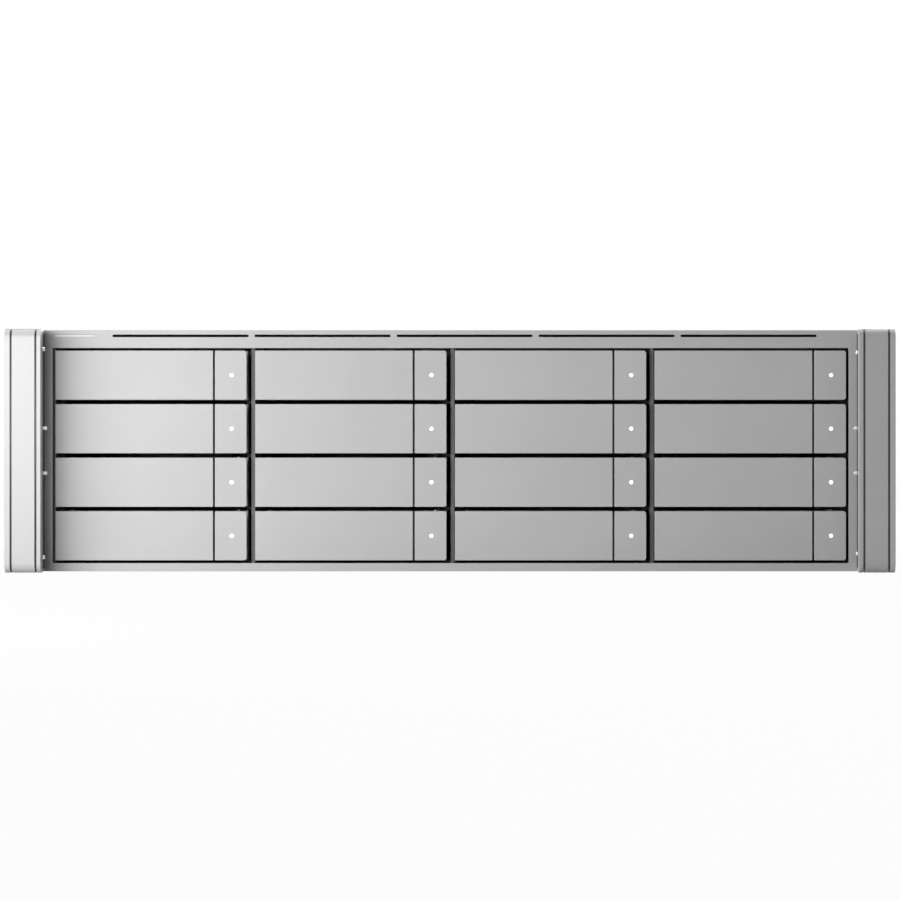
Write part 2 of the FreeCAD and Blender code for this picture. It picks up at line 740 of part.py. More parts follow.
def rack_bracket(side):
    name = "left" if side < 0 else "right"
    body = new_body(f"rack_bracket_{name}")
    plan = new_sketch(body, "XY_Plane")
    inner = f"{side} * body_half"
    outer = f"{side} * (body_half + bracket_plate)"
    edge = f"{side} * rack_width / 2"
    front = "ear_front + cap_wall + cap_gap"
    polygon(plan, [
        (inner, front), (outer, front), (outer, "-flange_thickness"), (edge, "-flange_thickness"),
        (edge, "0"), (outer, "0"), (outer, "bracket_reach"), (inner, "bracket_reach")])
    pad(body, plan, "panel_height")
    # the plate's front corners are cut back to clear the cap's rounded ends
    corners = new_sketch(body, "YZ_Plane", inner)
    clear = "cap_wall + cap_gap"
    slope = "cap_end_radius"
    for base, step in (("0", 1), ("panel_height", -1)):
        polygon(corners, [
            (f"{front} - 1", f"{base} - {step}"), ("-flange_thickness - cap_gap", f"{base} - {step}"),
            ("-flange_thickness - cap_gap", f"{base} + {step} * ({clear})"),
            (f"{front} + {slope}", f"{base} + {step} * ({clear})"),
            (f"{front} - 1", f"{base} + {step} * ({clear} + {slope} + 1)")])
    pocket(body, corners, "bracket_plate", towards=side)
    holes = new_sketch(body, "XZ_Plane", "-flange_thickness")
    middle = f"{side} * bolt_spacing_across / 2"
    half = "(bolt_slot_length - bolt_slot_width) / 2"
    for rise in ("panel_height / 2 - bolt_spacing_up / 2", "panel_height / 2 + bolt_spacing_up / 2"):
        slot(holes, f"{middle} - {half}", rise, f"{middle} + {half}", rise, "bolt_slot_width / 2")
    pocket(body, holes, "flange_thickness")
    return body


def bracket_pins():
    # two bezel locating pins and two screw heads on the inside face of each bracket plate
    pins = []
    screws = []
    for side, name in ((-1, "left"), (1, "right")):
        for step, end in ((-1, "low"), (1, "high")):
            rise = f"panel_height / 2 + {step} * bezel_pin_spacing / 2"
            pins.append(cylinder(f"bezel_pin_{name}_{end}", "bezel_pin_radius", "bezel_pin_length",
                                 f"{side} * body_half", "ear_mid", rise, (-side, 0, 0), head_sides))
            rise = f"panel_height / 2 - ear_screw_drop + {step} * ear_screw_{name} / 2"
            screws.append(cylinder(f"ear_screw_{name}_{end}", "ear_screw_radius", "ear_screw_head",
                                   f"{side} * body_half", "ear_mid", rise, (-side, 0, 0), head_sides))
    return [placed("bezel_pins", pins), placed("bracket_screws", screws)]


def ear_cap(side):
    name = "left" if side < 0 else "right"
    body = new_body(f"ear_cap_{name}")
    start = f"{side} * (body_half - cap_lip)"
    rim = "-flange_thickness - cap_gap"
    block = new_sketch(body, "YZ_Plane", start)
    rectangle(block, "ear_front", "0", rim, "panel_height")
    pad(body, block, "ear_width + cap_lip", towards=side)
    fillet(body, "cap_end_radius", lambda edge: runs_along(edge, "x") and lies_at(edge, "y", "ear_front"))
    # a lip laps over the front of the bracket's plate
    lap = new_sketch(body, "YZ_Plane", start)
    rectangle(lap, "ear_front + cap_lip_depth", "-1", f"{rim} + 1", "panel_height + 1")
    pocket(body, lap, "cap_lip", towards=side)
    hollow = new_sketch(body, "YZ_Plane", f"{side} * (body_half - cap_gap)")
    wall = "cap_wall"
    bevel = "cap_end_radius / 2"
    front = f"ear_front + {wall}"
    polygon(hollow, [
        (front, f"{wall} + {bevel}"), (f"{front} + {bevel}", wall), (f"{rim} + 1", wall),
        (f"{rim} + 1", f"panel_height - {wall}"), (f"{front} + {bevel}", f"panel_height - {wall}"),
        (front, f"panel_height - {wall} - {bevel}")])
    pocket(body, hollow, "ear_width + cap_gap - cap_wall", towards=side)
    for inset in ("cap_groove_inner - cap_lip", "ear_width - cap_groove_outer - cap_groove_width"):
        groove = new_sketch(body, "YZ_Plane", f"{side} * (body_half + {inset})")
        deep = "cap_groove_depth"
        cut = "cap_end_radius * 0.3 + cap_groove_depth * 0.7"
        rectangle(groove, "ear_front - 1", "-1", f"{rim} + 1", "panel_height + 1")
        polygon(groove, [
            (f"ear_front + {deep}", f"cap_end_radius"), (f"ear_front + {cut}", cut),
            ("ear_front + cap_end_radius", deep), (f"{rim} + 0.5", deep),
            (f"{rim} + 0.5", f"panel_height - {deep}"),
            ("ear_front + cap_end_radius", f"panel_height - {deep}"),
            (f"ear_front + {cut}", f"panel_height - ({cut})"),
            (f"ear_front + {deep}", "panel_height - cap_end_radius")])
        pocket(body, groove, "cap_groove_width", towards=side)
    return body


def cover_screws():
    heads = []
    for row, depth in enumerate(("bracket_reach + 15", "body_rear / 2", "body_rear - 12")):
        for side in (-1, 1):
            heads.append(cylinder(f"cover_screw_{row}_{side + 2}", "cover_screw_radius", "cover_screw_head",
                                  f"{side} * body_half", depth, "inner_top - cover_flange / 2", (side, 0, 0),
                                  head_sides))
    return placed("cover_screws", heads)


# ---- rear modules, each with its rear face at y = 0 and its lower left corner at x = 0 and z = 0

def module_case(name, left, right, height, rear_holes):
    # a base folded up at both ends, and a cover over its sides; rear_holes draws what is cut in the rear
    base = new_body(f"{name}_base")
    base.AllowCompound = True
    section = new_sketch(base, "YZ_Plane", f"{left} + module_sheet")
    front = "-module_length"
    polygon(section, [
        (front, "0"), ("0", "0"), ("0", f"{height} - module_sheet"), ("-module_sheet", f"{height} - module_sheet"),
        ("-module_sheet", "module_sheet"), (f"{front} + module_sheet", "module_sheet"),
        (f"{front} + module_sheet", f"{height} - module_sheet"), (front, f"{height} - module_sheet")])
    pad(base, section, f"{right} - ({left}) - 2 * module_sheet")
    holes = new_sketch(base, "XZ_Plane")
    rear_holes(holes)
    pocket(base, holes, "module_sheet", towards=-1)
    cover = new_body(f"{name}_cover")
    arch = new_sketch(cover, "XZ_Plane")
    inner_left, inner_right = f"{left} + module_sheet", f"{right} - module_sheet"
    polygon(arch, [
        (left, "0"), (inner_left, "0"), (inner_left, f"{height} - module_sheet"),
        (inner_right, f"{height} - module_sheet"), (inner_right, "0"), (right, "0"), (right, height),
        (left, height)])
    pad(cover, arch, "module_length", towards=-1)
    return [base, cover]


def bored_ear(name, plane, at, thickness, across):
    # a hinge ear on the rear panel with a cut nose; across is its middle's place along the panel
    ear = new_body(name)
    outline = new_sketch(ear, plane, at)
    reach = "handle_pivot + handle_bar / 2"
    wide, cut = "handle_bar / 2", f"handle_bar / 2 * {octagon_cut}"
    corners = [("0", f"-({wide})"), (f"{reach} - {cut}", f"-({wide})"), (reach, f"{cut} - {wide}"),
               (reach, f"{wide} - {cut}"), (f"{reach} - {cut}", wide), ("0", wide)]
    corners = [(out, f"{across} + ({side})") for out, side in corners]
    centre = ("handle_pivot", across)
    if plane == "XY_Plane":
        corners = [(side, out) for out, side in corners]
        centre = (across, "handle_pivot")
    polygon(outline, corners)
    octagon(outline, *centre, "handle_pin + pin_clearance")
    pad(ear, outline, thickness)
    return ear


def power_module():
    def rear_holes(holes):
        # the finger guard: a middle and a ring stay in the fan's hole, held by two crossed spokes
        circle(holes, "fan_inset", "fan_rise", "fan_bore")
        for radius in ("guard_ring + guard_wire", "guard_ring", "guard_middle"):
            many_sided(holes, "fan_inset", "fan_rise", radius, guard_sides)
        rim = "inlet_flange"
        rectangle(holes, f"inlet_inset - inlet_width / 2 - {rim}", f"inlet_rise - inlet_height / 2 - {rim}",
                  f"inlet_inset + inlet_width / 2 + {rim}", f"inlet_rise + inlet_height / 2 + {rim}")
        rectangle(holes, "switch_inset - switch_width / 2 - switch_rim",
                  "inlet_rise - switch_height / 2 - switch_rim",
                  "switch_inset + switch_width / 2 + switch_rim",
                  "inlet_rise + switch_height / 2 + switch_rim")

    case = module_case("psu", "0", "psu_width", "psu_height", rear_holes)
    spoke = "guard_wire / 2"
    across = "fan_bore + guard_wire"
    for half_wide, half_tall in ((across, spoke), (spoke, across)):
        bar = new_sketch(case[0], "XZ_Plane")
        rectangle(bar, f"fan_inset - ({half_wide})", f"fan_rise - ({half_tall})", f"fan_inset + {half_wide}",
                  f"fan_rise + {half_tall}")
        pad(case[0], bar, "module_sheet", towards=-1)

    # square fan frame behind the panel, with three struts that carry the motor plate
    frame = new_body("fan_frame")
    square = new_sketch(frame, "XZ_Plane", "-module_sheet")
    half = "(fan_bore + shroud_wall)"
    cut_rectangle(square, f"fan_inset - {half}", f"fan_rise - {half}", f"fan_inset + {half}", f"fan_rise + {half}",
                  "shroud_corner")
    circle(square, "fan_inset", "fan_rise", "fan_bore")
    pad(frame, square, "fan_depth", towards=-1)
    deep = "-module_sheet - fan_depth"
    motor = cylinder("motor_plate", "fan_hub", "strut_depth", "fan_inset", deep, "fan_rise", (0, 1, 0), head_sides)
    struts = []
    for number in range(3):
        strut = box(f"strut_{number}", "0", "fan_bore + shroud_wall / 2", "0", "strut_depth",
                    "-strut_width / 2", "strut_width / 2")
        turn = FreeCAD.Rotation(FreeCAD.Vector(0, 1, 0), 90 + 120 * number)
        corner = turn.multVec(FreeCAD.Vector(0, 0, 1))
        strut.Placement.Rotation = turn
        for axis, base in (("x", "fan_inset"), ("y", deep), ("z", "fan_rise")):
            strut.setExpression(f"Placement.Base.{axis}",
                                formula(f"{base} - ({getattr(corner, axis)}) * strut_width / 2"))
        struts.append(strut)
    housing = fused("fan_housing", [frame, motor] + struts)

    # mains inlet, whose two upper corners are cut, and the frame of the rocker switch
    inlet = new_body("mains_inlet")
    block = new_sketch(inlet, "XZ_Plane")
    half_wide, half_tall = "inlet_width / 2", "inlet_height / 2"
    rectangle(block, f"inlet_inset - {half_wide} - inlet_flange", f"inlet_rise - {half_tall} - inlet_flange",
              f"inlet_inset + {half_wide} + inlet_flange", f"inlet_rise + {half_tall} + inlet_flange")
    pad(inlet, block, "inlet_depth + inlet_back", towards=-1)
    socket = new_sketch(inlet, "XZ_Plane")
    left, right = f"inlet_inset - {half_wide}", f"inlet_inset + {half_wide}"
    low, high = f"inlet_rise - {half_tall}", f"inlet_rise + {half_tall}"
    polygon(socket, [(left, low), (right, low), (right, f"{high} - inlet_cut"), (f"{right} - inlet_cut", high),
                     (f"{left} + inlet_cut", high), (left, f"{high} - inlet_cut")])
    pocket(inlet, socket, "inlet_depth", towards=-1)

    frame = new_body("switch_frame")
    for edge, deep, cut in (("switch_rim", "switch_depth + switch_rim", pad), ("running_gap", "switch_depth", pocket)):
        outline = new_sketch(frame, "XZ_Plane")
        rectangle(outline, f"switch_inset - switch_width / 2 - {edge}", f"inlet_rise - switch_height / 2 - {edge}",
                  f"switch_inset + switch_width / 2 + {edge}", f"inlet_rise + switch_height / 2 + {edge}")
        cut(frame, outline, deep, towards=-1)

    # two ears carry the pull handle's hinge pin
    ears = [
        bored_ear("handle_ear_inner", "YZ_Plane", "handle_inset - running_gap - ear_plate", "ear_plate", "handle_rise"),
        bored_ear("handle_ear_outer", "YZ_Plane", "handle_inset + handle_width + running_gap", "ear_plate",
                  "handle_rise")]
    return case + [housing, inlet, frame] + ears


def fan_rotor():
    # hub and cambered blades about the axis x = 0, z = 0, with the outer face at y = 0
    body = new_body("fan_rotor")
    profile = new_sketch(body, "YZ_Plane")
    reach = "(fan_depth - strut_depth - 2 * rotor_gap)"
    polygon(profile, [
        ("0", "0"), ("0", "fan_hub - hub_edge"), ("-hub_edge", "fan_hub"), (f"-{reach}", "fan_hub"),
        (f"-{reach}", "0")])
    hub = body.newObject("PartDesign::Revolution", "rotor_hub")
    hub.Profile = profile
    hub.ReferenceAxis = (profile, ["H_Axis"])
    hub.Angle = 360
    # a cambered blade runs from inside the hub to just short of the bore
    section = new_sketch(body, "XY_Plane", "blade_start")
    half = "blade_chord / 2"
    deep = "blade_rise / 2"
    thick = "blade_thickness"
    middle = f"-{reach} / 2"
    polygon(section, [
        (f"-{half}", f"{middle} - {deep}"), (f"-{half} / 3", f"{middle} - {deep} * blade_camber"),
        (f"{half} / 2", f"{middle} + {deep} * (1 - blade_camber)"), (half, f"{middle} + {deep}"),
        (f"{half} / 2 - {thick}", f"{middle} + {deep} * (1 - blade_camber) + {thick}"),
        (f"-{half} / 3 - {thick}", f"{middle} - {deep} * blade_camber + {thick}")])
    blade = pad(body, section, "blade_end - (blade_start)")
    ring = body.newObject("PartDesign::PolarPattern", "rotor_blades")
    ring.Originals = [blade]
    ring.Axis = (profile, ["H_Axis"])
    ring.Angle = 360
    ring.Occurrences = fan_blades
    body.Tip = ring
    return body


def pull_handle(label):
    # an upright bail that lies flat along the module and hinges on a pin at its foot
    body = new_body(label)
    side = new_sketch(body, "YZ_Plane")
    stand = "handle_pivot"
    bar = "handle_bar / 2"
    cut = f"handle_bar / 2 * {octagon_cut}"
    top = "handle_length"
    outer, inner = "handle_stand", "handle_stand - handle_bar"
    bend = "handle_bend"
    polygon(side, [
        (f"{stand} - {bar}", f"{cut} - {bar}"), (f"{stand} - {bar} + {cut}", f"-({bar})"),
        (f"{stand} + {bar} - {cut}", f"-({bar})"), (f"{stand} + {bar}", f"{cut} - {bar}"),
        (f"{stand} + {bar}", "handle_foot"), (outer, f"handle_foot + {outer} - {stand} - {bar}"),
        (outer, f"{top} - {bend}"), (f"{outer} - {bend}", top), ("handle_gap", top),
        ("handle_gap", f"{top} - handle_bar"), (f"{inner} - {bend} / 2", f"{top} - handle_bar"),
        (inner, f"{top} - handle_bar - {bend} / 2"), (inner, f"handle_foot + {outer} - {stand}"),
        (f"{stand} - {bar}", "handle_foot + handle_bar / 2")])
    pad(body, side, "handle_width")
    pin = new_sketch(body, "YZ_Plane", "-ear_plate - running_gap")
    octagon(pin, stand, "0", f"handle_pin * {octagon_inside}")
    pad(body, pin, "handle_width + 2 * (ear_plate + running_gap)")
    return body


def rocker_switch():
    body = new_body("rocker")
    side = new_sketch(body, "YZ_Plane", "-switch_width / 2")
    half = "switch_height / 2"
    polygon(side, [
        ("-switch_depth + 1.5", "-1.5"), ("-switch_depth + 1.5", "1.5"), ("-1.5", f"{half} - 0.4"),
        ("1.6", f"{half} - 0.4"), ("0.4", "0"), ("-0.6", f"-{half} + 0.4"), ("-2.5", f"-{half} + 0.4")])
    pad(body, side, "switch_width")
    return body


def io_module():
    ports_across = ("-port_pitch", "0", "port_pitch")
    rim = "port_shell"

    def rear_holes(holes):
        for x in ports_across:
            rectangle(holes, f"{x} - port_width / 2 - {rim}", f"port_rise - port_height / 2 - {rim}",
                      f"{x} + port_width / 2 + {rim}", f"port_rise + port_height / 2 + {rim}")
        for number in range(io_vents):
            for side in (-1, 1):
                x = f"{side} * (io_half - io_vent_inset - {number} * io_vent_pitch)"
                cut_rectangle(holes, f"{x} - io_vent_width / 2", "port_rise - io_vent_length / 2",
                              f"{x} + io_vent_width / 2", "port_rise + io_vent_length / 2", "io_vent_width / 4")

    case = module_case("io", "-io_half", "io_half", "io_height", rear_holes)
    ports = []
    for number, x in enumerate(ports_across, start=1):
        port = new_body(f"port_{number}")
        for edge, deep, cut in ((rim, f"port_depth + {rim}", pad), ("0", "port_depth", pocket)):
            outline = new_sketch(port, "XZ_Plane", "port_stand")
            rectangle(outline, f"{x} - port_width / 2 - {edge}", f"port_rise - port_height / 2 - {edge}",
                      f"{x} + port_width / 2 + {edge}", f"port_rise + port_height / 2 + {edge}")
            cut(port, outline, deep, towards=-1)
        ports.append(port)
    lugs = [
        bored_ear("lever_lug_low", "XY_Plane", "lever_rise - running_gap - ear_plate", "ear_plate", "lever_pivot"),
        bored_ear("lever_lug_high", "XY_Plane", "lever_rise + lever_height + running_gap", "ear_plate",
                  "lever_pivot")]
    return case + ports + lugs


def ejector_lever():
    # a lever that lies along the panel, cranked out at its pivot and turned in at its free end
    body = new_body("ejector")
    plan = new_sketch(body, "XY_Plane", "lever_rise")
    near = "handle_pivot - handle_bar / 2"
    far = "handle_pivot + handle_bar / 2"
    root = "lever_pivot + handle_bar / 2"
    end = "lever_pivot - lever_length"
    out = "lever_stand"
    thick = "lever_bar"
    polygon(plan, [
        (root, near), (root, far), ("lever_pivot - lever_crank", far),
        (f"lever_pivot - lever_crank - ({out} - ({far}))", out), (f"{end} + {thick}", out), (end, f"{out} - {thick}"),
        (end, "handle_gap"), (f"{end} + {thick}", "handle_gap"), (f"{end} + {thick}", f"{out} - {thick}"),
        (f"lever_pivot - lever_crank - ({out} - ({far}))", f"{out} - {thick}"), ("lever_pivot - lever_crank", near)])
    pad(body, plan, "lever_height")
    pin = new_sketch(body, "XY_Plane", "lever_rise - running_gap - ear_plate")
    octagon(pin, "lever_pivot", "handle_pivot", f"handle_pin * {octagon_inside}")
    pad(body, pin, "lever_height + 2 * (ear_plate + running_gap)")
    return body


def make_modules():
    parts = power_module()
    rotor = fan_rotor()
    handle = pull_handle("handle")
    rocker = rocker_switch()
    module_floor = "sheet_wall + module_gap"
    nodes = []
    for name, x in (("left", "module_gap - bay_half"), ("right", "bay_half - psu_width - module_gap")):
        nodes.append(placed(f"psu_{name}", parts, x, "body_rear", module_floor))
        nodes.append(placed(f"psu_{name}_fan", [rotor], f"{x} + fan_inset", "body_rear - module_sheet - rotor_gap",
                            f"{module_floor} + fan_rise"))
        nodes.append(placed(f"psu_{name}_handle", [handle], f"{x} + handle_inset", "body_rear",
                            f"{module_floor} + handle_rise"))
        nodes.append(placed(f"psu_{name}_switch", [rocker], f"{x} + switch_inset", "body_rear",
                            f"{module_floor} + inlet_rise"))
    module = io_module()
    lever = ejector_lever()
    upper_floor = f"{module_floor} + io_height + 2 * module_gap + module_wall"
    for name, z in (("lower", module_floor), ("upper", upper_floor)):
        nodes.append(placed(f"io_{name}", module, "0", "body_rear", z))
        nodes.append(placed(f"io_{name}_lever", [lever], "0", "body_rear", z))
    return nodes


# ---- the document's sub-parts, each written under its label

def write(nodes):
    doc.recompute()
    for item in doc.Objects:
        if "Invalid" in item.State or "Error" in item.State:
            raise RuntimeError(f"{item.Label} failed: {item.State}")
        if item.TypeId == "PartDesign::Pocket" and item.Shape.Volume > item.BaseFeature.Shape.Volume - 0.001:
            raise RuntimeError(f"{item.Label} cuts nothing")
    for node in nodes:
        if node.Shape.isNull() or not node.Shape.isValid() or not node.Shape.Solids:
            raise RuntimeError(f"{node.Label} has no sound shape")
        node.Shape.exportStep(os.path.join("parts", f"{node.Label}.step"))
    print(len(nodes), "nodes,", sum(len(node.Shape.Solids) for node in nodes), "solids")


os.makedirs("parts", exist_ok=True)
walls = [bay_wall(number) for number in range(columns + 1)]
chassis = [
    chassis_pan(), top_cover(), front_frame(), status_light_bar(),
    placed("bay_dividers", walls), guide_rails(),
    midplane(), drive_sockets(), module_walls(), rack_bracket(-1), rack_bracket(1), *bracket_pins(),
    cover_screws(), ear_cap(-1), ear_cap(1)]
write(chassis + make_carriers() + make_modules())
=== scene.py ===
import json
import math
import bmesh
import bpy
from mathutils import Matrix, Vector


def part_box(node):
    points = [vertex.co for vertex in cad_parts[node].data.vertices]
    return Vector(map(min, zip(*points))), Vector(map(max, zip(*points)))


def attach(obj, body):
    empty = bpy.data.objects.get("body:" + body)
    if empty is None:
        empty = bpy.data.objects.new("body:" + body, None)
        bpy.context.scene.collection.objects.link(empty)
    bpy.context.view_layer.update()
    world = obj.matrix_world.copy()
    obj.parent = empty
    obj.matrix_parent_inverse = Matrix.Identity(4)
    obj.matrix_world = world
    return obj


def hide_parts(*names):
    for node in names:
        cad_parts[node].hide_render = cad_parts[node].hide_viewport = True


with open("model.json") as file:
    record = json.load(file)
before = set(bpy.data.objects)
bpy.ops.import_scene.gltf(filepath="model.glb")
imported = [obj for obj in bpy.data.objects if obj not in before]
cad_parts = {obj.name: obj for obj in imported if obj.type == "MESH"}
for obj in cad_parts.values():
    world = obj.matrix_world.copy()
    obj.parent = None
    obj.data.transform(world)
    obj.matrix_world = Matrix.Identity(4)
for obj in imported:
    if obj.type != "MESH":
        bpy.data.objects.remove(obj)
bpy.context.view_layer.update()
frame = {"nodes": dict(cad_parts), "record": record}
mm = 0.001
rows = 4
columns = 4
towardsFront = (0, -1, 0)
towardsRear = (0, 1, 0)
weldGap = 1e-6
flatAngle = math.radians(1.0)
sharpAngle = math.radians(35)


# colours are sRGB hex values, turned to linear here only
def linear(hexColour):
    channels = [int(hexColour[i:i + 2], 16) / 255 for i in (1, 3, 5)]
    return [c / 12.92 if c <= 0.04045 else ((c + 0.055) / 1.055) ** 2.4 for c in channels] + [1.0]


def addNode(tree, kind, links=(), **settings):
    node = tree.nodes.new(kind)
    for name, value in settings.items():
        if hasattr(node, name):
            setattr(node, name, value)
        else:
            node.inputs[name.replace("_", " ")].default_value = value
    for socket, source in dict(links).items():
        tree.links.new(source, node.inputs[socket])
    return node


def newMaterial(name, colour, metallic, roughness, **shader):
    material = bpy.data.materials.new(name)
    material.use_nodes = True
    tree = material.node_tree
    principled = tree.nodes["Principled BSDF"]
    principled.inputs["Base Color"].default_value = linear(colour)
    principled.inputs["Metallic"].default_value = metallic
    principled.inputs["Roughness"].default_value = roughness
    for socket, value in shader.items():
        principled.inputs[socket.replace("_", " ")].default_value = value
    coordinates = addNode(tree, "ShaderNodeTexCoord")
    return material, tree, principled, coordinates.outputs["Object"]


def texture(tree, kind, vector, size, **settings):
    # size is the real size of one cell in millimetres, or one size for each direction
    sizes = size if isinstance(size, tuple) else (size, size, size)
    mapping = addNode(tree, "ShaderNodeMapping", {"Vector": vector})
    mapping.inputs["Scale"].default_value = [1 / (s * mm) for s in sizes]
    return addNode(tree, kind, {"Vector": mapping.outputs[0]}, Scale=1.0, **settings)


def ranged(tree, source, low, high, fromLow=0.3, fromHigh=0.7):
    return addNode(tree, "ShaderNodeMapRange", {"Value": source}, From_Min=fromLow, From_Max=fromHigh,
                   To_Min=low, To_Max=high).outputs["Result"]


def bump(tree, principled, height, depth):
    node = addNode(tree, "ShaderNodeBump", {"Height": height}, Distance=depth * mm, Strength=1.0)
    tree.links.new(node.outputs["Normal"], principled.inputs["Normal"])


def tinted(tree, principled, source, dark, light):
    # the colour sockets of a Mix node are numbers 6 and 7, and its colour result number 2
    blend = addNode(tree, "ShaderNodeMix", {0: source}, data_type="RGBA")
    blend.inputs[6].default_value = linear(dark)
    blend.inputs[7].default_value = linear(light)
    tree.links.new(blend.outputs[2], principled.inputs["Base Color"])


def anodisedAluminium(name, dark, light):
    # aluminium, bead blasted and clear anodised: an even, nearly matte sheen with a very fine grain
    grit = {"bead": 0.5, "cloud": 40.0, "depth": 0.006, "metallic": 0.03, "roughness": (0.42, 0.5)}
    material, tree, principled, place = newMaterial(name, light, grit["metallic"], grit["roughness"][1])
    bead = texture(tree, "ShaderNodeTexNoise", place, grit["bead"], Detail=2.0)
    cloud = texture(tree, "ShaderNodeTexNoise", place, grit["cloud"], Detail=3.0)
    tinted(tree, principled, ranged(tree, cloud.outputs["Fac"], 0.0, 1.0), dark, light)
    tree.links.new(ranged(tree, bead.outputs["Fac"], *grit["roughness"]), principled.inputs["Roughness"])
    bump(tree, principled, bead.outputs["Fac"], grit["depth"])
    return material


def silverCoatedPlastic(name, dark, light):
    # moulded cap under a silver lacquer: smoother than the metal beside it, with a fine flake in its sheen
    coat = {"flake": 0.35, "cloud": 60.0, "depth": 0.004, "metallic": 0.03, "roughness": (0.34, 0.42)}
    material, tree, principled, place = newMaterial(name, light, coat["metallic"], coat["roughness"][1])
    flake = texture(tree, "ShaderNodeTexVoronoi", place, coat["flake"])
    cloud = texture(tree, "ShaderNodeTexNoise", place, coat["cloud"], Detail=2.0)
    tinted(tree, principled, ranged(tree, cloud.outputs["Fac"], 0.0, 1.0), dark, light)
    tree.links.new(ranged(tree, flake.outputs["Distance"], *coat["roughness"], 0.0, 1.0),
                   principled.inputs["Roughness"])
    bump(tree, principled, flake.outputs["Distance"], coat["depth"])
    return material


def zincSheet(name, dark, light):
    # cold-rolled steel, zinc plated: faint rolling lines along the sheet and small cloudy crystals
    grain = {"rolling": (0.6, 60.0, 0.6), "crystal": 6.0, "depth": 0.008, "metallic": 0.6,
             "roughness": (0.34, 0.50)}
    material, tree, principled, place = newMaterial(name, light, grain["metallic"], grain["roughness"][1])
    rolling = texture(tree, "ShaderNodeTexNoise", place, grain["rolling"], Detail=2.0)
    crystal = texture(tree, "ShaderNodeTexVoronoi", place, grain["crystal"])
    share = ranged(tree, crystal.outputs["Color"], low=0.3, high=0.8, fromLow=0.0, fromHigh=1.0)
    tinted(tree, principled, share, dark, light)
    tree.links.new(ranged(tree, rolling.outputs["Fac"], *grain["roughness"]), principled.inputs["Roughness"])
    bump(tree, principled, rolling.outputs["Fac"], grain["depth"])
    return material


def powderCoat(name, dark, light):
    # baked powder coat: a fine orange peel over steel
    peel = {"cell": 0.7, "depth": 0.02, "roughness": 0.55}
    material, tree, principled, place = newMaterial(name, light, 0.0, peel["roughness"])
    grain = texture(tree, "ShaderNodeTexNoise", place, peel["cell"], Detail=1.0)
    tinted(tree, principled, grain.outputs["Fac"], dark, light)
    bump(tree, principled, grain.outputs["Fac"], peel["depth"])
    return material


def mouldedPlastic(name, dark, light):
    # glass-filled moulding with a spark-eroded texture from the tool
    skin = {"spark": 0.4, "flow": 25.0, "depth": 0.015, "roughness": 0.5, "spread": 0.08}
    low, high = skin["roughness"] - skin["spread"], skin["roughness"] + skin["spread"]
    material, tree, principled, place = newMaterial(name, light, 0.0, skin["roughness"])
    spark = texture(tree, "ShaderNodeTexNoise", place, skin["spark"], Detail=2.0)
    flow = texture(tree, "ShaderNodeTexNoise", place, skin["flow"])
    tinted(tree, principled, flow.outputs["Fac"], dark, light)
    tree.links.new(ranged(tree, spark.outputs["Fac"], low, high), principled.inputs["Roughness"])
    bump(tree, principled, spark.outputs["Fac"], skin["depth"])
    return material


def solderResist(name, dark, light):
    # glass-fibre board under solder resist: glossy, with a weave that just shows through
    weave = {"thread": 0.8, "depth": 0.006, "roughness": 0.3}
    material, tree, principled, place = newMaterial(name, light, 0.0, weave["roughness"])
    threads = texture(tree, "ShaderNodeTexChecker", place, weave["thread"])
    share = ranged(tree, threads.outputs["Fac"], low=0.35, high=0.65, fromLow=0.0, fromHigh=1.0)
    tinted(tree, principled, share, dark, light)
    bump(tree, principled, threads.outputs["Fac"], weave["depth"])
    return material


def castAluminium(name, dark, light):
    # a drive's casting and its lid: slightly cloudy metal with fine pits
    skin = {"flow": 9.0, "pit": 0.5, "depth": 0.012, "metallic": 0.7, "roughness": 0.42}
    material, tree, principled, place = newMaterial(name, light, skin["metallic"], skin["roughness"])
    flow = texture(tree, "ShaderNodeTexNoise", place, skin["flow"], Detail=4.0)
    pit = texture(tree, "ShaderNodeTexNoise", place, skin["pit"], Detail=1.0)
    tinted(tree, principled, flow.outputs["Fac"], dark, light)
    bump(tree, principled, pit.outputs["Fac"], skin["depth"])
    return material


def turnedMetal(name, dark, light):
    # screws, pins and contacts: plated metal, bright, with faint marks of the turning tool
    marks = {"line": 0.15, "depth": 0.003, "metallic": 0.9, "roughness": 0.28}
    material, tree, principled, place = newMaterial(name, light, marks["metallic"], marks["roughness"])
    lines = texture(tree, "ShaderNodeTexNoise", place, marks["line"])
    tinted(tree, principled, lines.outputs["Fac"], dark, light)
    bump(tree, principled, lines.outputs["Fac"], marks["depth"])
    return material


def lightPipe(name, dark, light, strength):
    # frosted polycarbonate lit from behind, a little brighter in some places than in others
    frost = {"cell": 0.6, "depth": 0.01, "roughness": 0.35}
    material, tree, principled, place = newMaterial(name, light, 0.0, frost["roughness"])
    cells = texture(tree, "ShaderNodeTexNoise", place, frost["cell"])
    tinted(tree, principled, cells.outputs["Fac"], dark, light)
    bump(tree, principled, cells.outputs["Fac"], frost["depth"])
    principled.inputs["Emission Color"].default_value = linear(light)
    principled.inputs["Emission Strength"].default_value = strength
    return material


